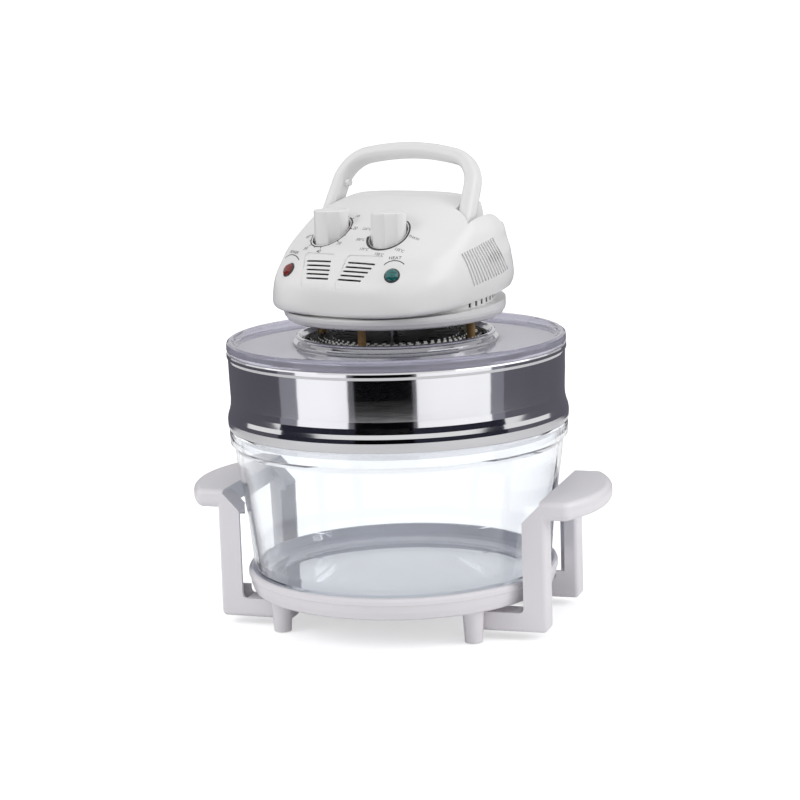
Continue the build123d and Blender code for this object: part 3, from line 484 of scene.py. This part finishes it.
# %% [markdown]
# Both scales run round the round wells of the knobs, so they are dropped straight down. The timer
# has a thin ring that grows towards its end, a tick for each five minutes and a number for each
# ten, because minutes are read on the move and the ticks help the eye.

# %% Timer scale
KNOB_X, KNOB_Y, KNOB_TOP = 34, -53, 390.5
STRAIGHT_DOWN = math.radians(90)
SCALE_R = 20.4
TIMER_OFF, TIMER_TURN = 97, -45
TICK_LONG, TICK_SHORT, LINE_WIDTH = 2.6, 1.5, 0.9
RING_GROWTH, NUMBER_OUT, NUMBER_SIZE = 0.6, 6.0, 5.0
timer_scale = bmesh.new()
ring = arc_points(SCALE_R, 190, 425)
strip(timer_scale, ring, [LINE_WIDTH + RING_GROWTH * i / (len(ring) - 1) for i in range(len(ring))])
for step in range(13):
    angle = math.radians(TIMER_OFF + TIMER_TURN * step / 2)
    reach = (SCALE_R, SCALE_R + (TICK_LONG if step % 2 == 0 else TICK_SHORT))
    ends = [(r * math.cos(angle), r * math.sin(angle)) for r in reach]
    strip(timer_scale, ends, [LINE_WIDTH, LINE_WIDTH])
    if step % 2 == 0:
        r = SCALE_R + NUMBER_OUT
        lettering(timer_scale, str(step * 5), NUMBER_SIZE, r * math.cos(angle), r * math.sin(angle))
print_mark("timer_scale", timer_scale, panel_frame(-KNOB_X, KNOB_Y, KNOB_TOP, 0, STRAIGHT_DOWN))

# %% [markdown]
# The thermostat has a broad band instead, which thins from the hot end to the cool one, so the
# heat can be judged without reading. The degrees stand outside it, further out at its sides,
# where the words are wide.

# %% Thermostat scale
HEAT_MARKS = {
    "THAW": 4, "125°C": -34, "150°C": -76, "175°C": -122,
    "200°C": -158, "225°C": -186, "250°C": -210,
}
BAND_WIDE, BAND_THINNING = 2.6, 1.2
DEGREES_SIZE, OUT_AT_SIDES, OUT_ELSEWHERE, SIDEWAYS = 4.0, 7.4, 5.4, 0.6
heat_scale = bmesh.new()
band = arc_points(SCALE_R, 197, 425)
strip(heat_scale, band, [BAND_WIDE - BAND_THINNING * i / (len(band) - 1) for i in range(len(band))])
for words, degrees in HEAT_MARKS.items():
    angle = math.radians(degrees)
    r = SCALE_R + (OUT_AT_SIDES if abs(math.sin(angle)) < SIDEWAYS else OUT_ELSEWHERE)
    lettering(heat_scale, words, DEGREES_SIZE, r * math.cos(angle), r * math.sin(angle))
print_mark("thermostat_scale", heat_scale, panel_frame(KNOB_X, KNOB_Y, KNOB_TOP, 0, STRAIGHT_DOWN))

# %% [markdown]
# Each lamp has a short arc and one word above it, and a dark line round its lens where the bezel
# meets the cover. Both lamps could be drawn one by one, but a loop over their few differences
# keeps them a pair. The moulding turns away quickly at the red lamp, so its arc is drawn wider.

# %% Lamp marks
LAMP_X, LAMP_Y, LAMP_Z, LAMP_AZIMUTH = 61.5, -88, 354.5, 24
LAMP_RISE = math.radians(36)
ARC_R, ARC_UP, WORD_UP = 11.5, 4.5, 19.0
WORD_SIZE, WORD_SHIFT = 5.0, 1.3
BEZEL_R, BEZEL_WIDTH = 7.0, 1.5
LAMPS = [
    # side, word, piece name, shift to the right in mm, widening of the arc
    (-1, "POWER", "power", -7.0, 1.7),
    (1, "HEAT", "heat", 1.0, 1.1),
]
for side, word, name, shift, spread in LAMPS:
    place = panel_frame(side * LAMP_X, LAMP_Y, LAMP_Z, side * LAMP_AZIMUTH, LAMP_RISE)
    mark = bmesh.new()
    arc = [(spread * x + shift, y + ARC_UP) for x, y in arc_points(ARC_R, 140, 40)]
    strip(mark, arc, [LINE_WIDTH] * len(arc))
    lettering(mark, word, WORD_SIZE, WORD_SHIFT * shift, WORD_UP)
    print_mark(name + "_mark", mark, place)
    bezel = bmesh.new()
    circle = arc_points(BEZEL_R, 0, 360, 8)
    strip(bezel, circle, [BEZEL_WIDTH] * len(circle))
    print_mark(name + "_bezel", bezel, place)

# %% [markdown]
# The heat shield inside the neck has small pressed louvres. Their raised lips are aluminised
# sheet, drawn near white as a painted highlight for the light that shows through the louvres in
# rings, while the sheet round them is dark from heat and from painted shade. They could be cut
# into the shield, but one slanted face each on the shield's own top is all that the gap lets one
# see.

# %% Shield lips, drawn as painted highlight
SHIELD_TOP = 282.0
LIP_LEAN, LIP_HEIGHT = 0.4, 1.5
LIP_CORNERS = [(-0.5, LIP_LEAN, 0.0), (0.5, LIP_LEAN, 0.0),
               (0.5, 0.0, LIP_HEIGHT), (-0.5, 0.0, LIP_HEIGHT)]
# number of lips, radius and length in mm
LIP_RINGS = [(72, 84.0, 3.6), (64, 76.0, 4.2), (60, 70.5, 3.8), (48, 62.0, 3.4)]
# The near white of the lips is a painted highlight for the light through the louvres
LIP_HIGHLIGHT_METAL = grained("aluminised_lips_painted_highlight", "#E6E5E2", "#FAF9F7", 1.0, 0.4, 0.02, 0.15)
lips = bmesh.new()
for count, radius, length in LIP_RINGS:
    for i in range(count):
        a = 2 * math.pi * i / count
        corners = []
        for u, lean, up in LIP_CORNERS:
            x, y = radius + lean, u * length
            corners.append(lips.verts.new(((x * math.cos(a) - y * math.sin(a)) * MM,
                                           (x * math.sin(a) + y * math.cos(a)) * MM,
                                           (SHIELD_TOP + up) * MM)))
        lips.faces.new(corners)
lid_piece("shield_lip_highlights", lips, LIP_HIGHLIGHT_METAL)

# %% [markdown]
# Seven low air slots stand on each flank of the head's base. A small black sheet closes each from
# within, as painted shade for the dark inside of the head, and it keeps light from coming through
# the head. One black ring inside would do it with fewer faces, but the wall isn't round there, so
# each sheet finds its own depth by a ray onto the moulding on both sides of its slot.

# %% Black sheets behind the slots, as painted shade
SLOTS, SLOT_R, SLOT_FIRST, SLOT_PITCH = 7, 98, 82, 5.6
SLOT_Z, SLOT_LEAN = 319.75, 0.0603
SHADE_SHEET_X, SHADE_SHEET_Z, SHADE_SHEET_DEPTH, BESIDE_SLOT = 1.7, 2.7, 0.9, 3.4
BASE_SURFACE = surface_tree("head_base")
# Each black sheet is painted shade for the dark inside of the head behind its slot
shade_sheets = bmesh.new()
for side in (-1, 1):
    for i in range(SLOTS):
        turn = math.radians(SLOT_FIRST + SLOT_PITCH * i)
        x, y = side * SLOT_R * math.sin(turn), -SLOT_R * math.cos(turn)
        outward = (HEAD_TURN @ Vector((x, y, 0))).normalized()
        across = Vector((-outward.y, outward.x, 0))
        middle = HEAD_TURN @ Vector((x, y, SLOT_Z + y * SLOT_LEAN)) * MM
        reach = []
        for step in (-BESIDE_SLOT, BESIDE_SLOT):
            start = middle + across * step * MM + outward * DROP_HEIGHT
            hit = BASE_SURFACE.ray_cast(start, -outward, 2 * DROP_HEIGHT)[0]
            if hit:
                reach.append((hit - middle).dot(outward))
        depth = min(reach) - SHADE_SHEET_DEPTH * MM if reach else 0.0
        corners = [middle + outward * depth + across * u * MM + Vector((0, 0, v * MM))
                   for u, v in ((-SHADE_SHEET_X, -SHADE_SHEET_Z), (SHADE_SHEET_X, -SHADE_SHEET_Z),
                                (SHADE_SHEET_X, SHADE_SHEET_Z), (-SHADE_SHEET_X, SHADE_SHEET_Z))]
        shade_sheets.faces.new([shade_sheets.verts.new(c) for c in corners])
lid_piece("slot_shade_sheets", shade_sheets, BLACK_NYLON)

# %% [markdown]
# The studio is a pale paper sweep that rises behind the oven, with no edge between floor and
# wall. Lit by the lamps alone it would come out light grey, so it glows a little, and only for
# rays from the eye or through glass, which leaves the light on the oven as it is. A stronger
# lamp on the wall could do that too, but would also reach the oven. Paper fibres are too fine to
# show, so their tone is drawn in soft clouds 17 mm wide.

# %% Floor and backdrop
PAPER_GLOW, FIBRE_MM = 0.5, 16.6667
FLOOR_DROP = 0.2 * MM
SWEEP_HALF, SWEEP_TURN, SWEEP_BEND, SWEEP_TOP = 4.0, 1.6, 0.9, 4.0
BEND_STEPS = 12


def studio_paper():
    material, tree, shader = new_material("matt_paper_sweep")
    place = add(tree, "ShaderNodeTexCoord").outputs["Object"]
    fibre = add(tree, "ShaderNodeTexNoise", {"Scale": 1000 / FIBRE_MM, "Detail": 4.0},
                {"Vector": place})
    shades = add(tree, "ShaderNodeValToRGB", links={"Fac": fibre.outputs["Fac"]})
    shades.color_ramp.elements[0].color = linear("#F4F4F5")
    shades.color_ramp.elements[1].color = linear("#F6F6F7")
    tree.links.new(shades.outputs["Color"], shader.inputs["Base Color"])
    shader.inputs["Roughness"].default_value = 0.9
    ray = add(tree, "ShaderNodeLightPath")
    seen = add(tree, "ShaderNodeMath", operation="MAXIMUM")
    tree.links.new(ray.outputs["Is Camera Ray"], seen.inputs[0])
    tree.links.new(ray.outputs["Is Transmission Ray"], seen.inputs[1])
    strength = add(tree, "ShaderNodeMath", operation="MULTIPLY")
    tree.links.new(seen.outputs["Value"], strength.inputs[0])
    strength.inputs[1].default_value = PAPER_GLOW
    tree.links.new(strength.outputs["Value"], shader.inputs["Emission Strength"])
    shader.inputs["Emission Color"].default_value = (1, 1, 1, 1)
    return material


def build_sweep():
    """A floor 8 m wide that bends up into a back wall behind the oven."""
    grid = bmesh.new()
    profile = [(-SWEEP_HALF, 0.0), (SWEEP_TURN, 0.0)]
    for i in range(1, BEND_STEPS + 1):
        a = math.pi / 2 * i / BEND_STEPS
        profile.append((SWEEP_TURN + SWEEP_BEND * math.sin(a), SWEEP_BEND * (1 - math.cos(a))))
    profile.append((SWEEP_TURN + SWEEP_BEND, SWEEP_TOP))
    rails = [[grid.verts.new((x, y, z)) for x in (-SWEEP_HALF, SWEEP_HALF)] for y, z in profile]
    for (a, b), (c, d) in zip(rails, rails[1:]):
        grid.faces.new((a, b, d, c))
    mesh = bpy.data.meshes.new("paper_sweep")
    grid.to_mesh(mesh)
    grid.free()
    for face in mesh.polygons:
        face.use_smooth = True
    mesh.materials.append(studio_paper())
    sweep = bpy.data.objects.new("paper_sweep", mesh)
    sweep.rotation_euler.z = math.radians(CAMERA_AZIMUTH)
    sweep.location.z = -FLOOR_DROP
    bpy.context.scene.collection.objects.link(sweep)
    print("sweep with", len(mesh.polygons), "faces")


build_sweep()

# %% [markdown]
# A polished ring shows whatever stands round it, so curved cards stand round the table, as a
# product photographer would place them: black beside the camera, white on both sides of it, and
# grey further round. Two high white ones give the head its gloss. A photographed room could be
# mirrored instead, but cards let each panel of the ring be set on its own. They are there only
# for reflections, so they throw no shadow, light nothing that is dull, and aren't seen.

# %% Cards mirrored by the polished steel
CARD_R = 1.0
CARD_SPLIT = 0.2
CARD_FADE, CARD_FADE_MM = 0.75, 625
CARD_STEP_DEG = 6
CARDS = [
    # name, first and last azimuth from the camera, lowest and highest edge, colour, strength
    ("card_black", -27, 9, 0.0, 0.5, "#060608", 1.0),
    ("card_edge_left", -31, -27, 0.0, CARD_SPLIT, "#77777C", 1.0),
    ("card_edge_right", 9, 11.5, 0.0, CARD_SPLIT, "#77777C", 1.0),
    ("card_white_left", -66, -31, 0.0, CARD_SPLIT, "#F6F6FA", 1.65),
    ("card_far_left", -80, -66, 0.0, CARD_SPLIT, "#9A9AA4", 1.1),
    ("card_white_right", 11.5, 60, 0.0, CARD_SPLIT, "#F8F8FA", 1.5),
    ("card_far_right", 60, 70, 0.0, CARD_SPLIT, "#8C8C96", 1.1),
    ("card_top_left", -80, -27, CARD_SPLIT, 0.56, "#2E2F3C", 1.0),
    ("card_top_right", 9, 70, CARD_SPLIT, 0.56, "#2E2F3C", 1.0),
    ("card_grey_left", -180, -80, 0.0, 0.33, "#67656F", 1.0),
    ("card_grey_right", 70, 180, 0.0, 0.33, "#6E6C76", 1.0),
    ("card_gloss_right", 40, 100, 0.62, 1.3, "#FFFFFF", 2.6),
    ("card_gloss_left", -100, -55, 0.62, 1.3, "#FFFFFF", 1.6),
]


def card_paint(name, hex_value, strength):
    """Painted board that fades a little along its length."""
    material, tree, shader = new_material(name)
    place = add(tree, "ShaderNodeTexCoord").outputs["Object"]
    fade = add(tree, "ShaderNodeTexNoise", {"Scale": 1000 / CARD_FADE_MM, "Detail": 1.0},
               {"Vector": place})
    shades = add(tree, "ShaderNodeValToRGB", links={"Fac": fade.outputs["Fac"]})
    shades.color_ramp.elements[0].color = (*(Vector(linear(hex_value)[:3]) * CARD_FADE), 1)
    shades.color_ramp.elements[1].color = linear(hex_value)
    shader.inputs["Base Color"].default_value = (0, 0, 0, 1)
    shader.inputs["Specular IOR Level"].default_value = 0.0
    tree.links.new(shades.outputs["Color"], shader.inputs["Emission Color"])
    shader.inputs["Emission Strength"].default_value = strength
    return material


def reflector_card(name, start, end, low, high, hex_value, strength):
    """A card on a circle round the oven, between two azimuths and two heights."""
    grid = bmesh.new()
    count = max(2, int((end - start) / CARD_STEP_DEG) + 1)
    rails = []
    for i in range(count):
        a = math.radians(CAMERA_AZIMUTH + start + (end - start) * i / (count - 1))
        x, y = CARD_R * math.sin(a), -CARD_R * math.cos(a)
        rails.append([grid.verts.new((x, y, z)) for z in (low, high)])
    for (a, b), (c, d) in zip(rails, rails[1:]):
        grid.faces.new((a, b, d, c))
    mesh = bpy.data.meshes.new(name)
    grid.to_mesh(mesh)
    grid.free()
    mesh.materials.append(card_paint(name, hex_value, strength))
    card = bpy.data.objects.new(name, mesh)
    bpy.context.scene.collection.objects.link(card)
    card.visible_camera = False
    card.visible_diffuse = False
    card.visible_shadow = False
    card.visible_transmission = False


for settings in CARDS:
    reflector_card(*settings)
print(len(CARDS), "cards at", CARD_R, "m")

# %% [markdown]
# Three large soft lamps light the oven at a plain level, at which a colour renders about as it is
# written: a wide one on each side and a weak one above. Large lamps were chosen because white
# mouldings show their form by soft shade alone. Small ones would give crisper edges to the
# shadows, and bright spots that hide the form.


# %% Lamps
def soft_lamp(name, azimuth, elevation, distance, size, watts, target=(0, 0, 0.25)):
    lamp = bpy.data.objects.new(name, bpy.data.lights.new(name, "AREA"))
    lamp.data.shape = "RECTANGLE"
    lamp.data.size, lamp.data.size_y = size
    lamp.data.energy = watts
    a, e = math.radians(azimuth), math.radians(elevation)
    spot = Vector((math.sin(a) * math.cos(e), -math.cos(a) * math.cos(e), math.sin(e))) * distance
    lamp.location = spot + Vector(target)
    lamp.rotation_euler = (Vector(target) - lamp.location).to_track_quat("-Z", "Y").to_euler()
    # Glossy surfaces mirror the cards instead, which are evenly bright
    lamp.visible_glossy = False
    bpy.context.scene.collection.objects.link(lamp)
    print(name, watts, "W")


# azimuth and height in degrees, distance and size in metres, power in watts
soft_lamp("key_left", CAMERA_AZIMUTH - 60, 34, 2.6, (1.0, 1.4), 16)
soft_lamp("fill_right", CAMERA_AZIMUTH + 72, 22, 2.8, (0.9, 1.6), 24)
soft_lamp("top", CAMERA_AZIMUTH, 85, 2.2, (2.0, 2.0), 10)

# %% [markdown]
# Light that has bounced off the room fills what the lamps leave dark. A closed room could be
# built, but an even world light at half strength does the same and costs no time. Where the eye,
# glass or metal looks at it, it is plain white, as the backdrop is.

# %% Room light
ROOM_LIGHT = 0.5
world = bpy.data.worlds.new("studio")
world.use_nodes = True
bpy.context.scene.world = world
world_tree = world.node_tree
background = world_tree.nodes["Background"]
background.inputs["Color"].default_value = linear("#FFFFFF")
world_ray = add(world_tree, "ShaderNodeLightPath")
seen_world = add(world_tree, "ShaderNodeMath", operation="MAXIMUM")
world_tree.links.new(world_ray.outputs["Is Camera Ray"], seen_world.inputs[0])
world_tree.links.new(world_ray.outputs["Is Transmission Ray"], seen_world.inputs[1])
mirrored = add(world_tree, "ShaderNodeMath", operation="MAXIMUM")
world_tree.links.new(seen_world.outputs["Value"], mirrored.inputs[0])
world_tree.links.new(world_ray.outputs["Is Glossy Ray"], mirrored.inputs[1])
level = add(world_tree, "ShaderNodeMapRange", {"To Min": ROOM_LIGHT, "To Max": 1.0},
            {"Value": mirrored.outputs["Value"]})
world_tree.links.new(level.outputs["Result"], background.inputs["Strength"])
print("room light", ROOM_LIGHT)
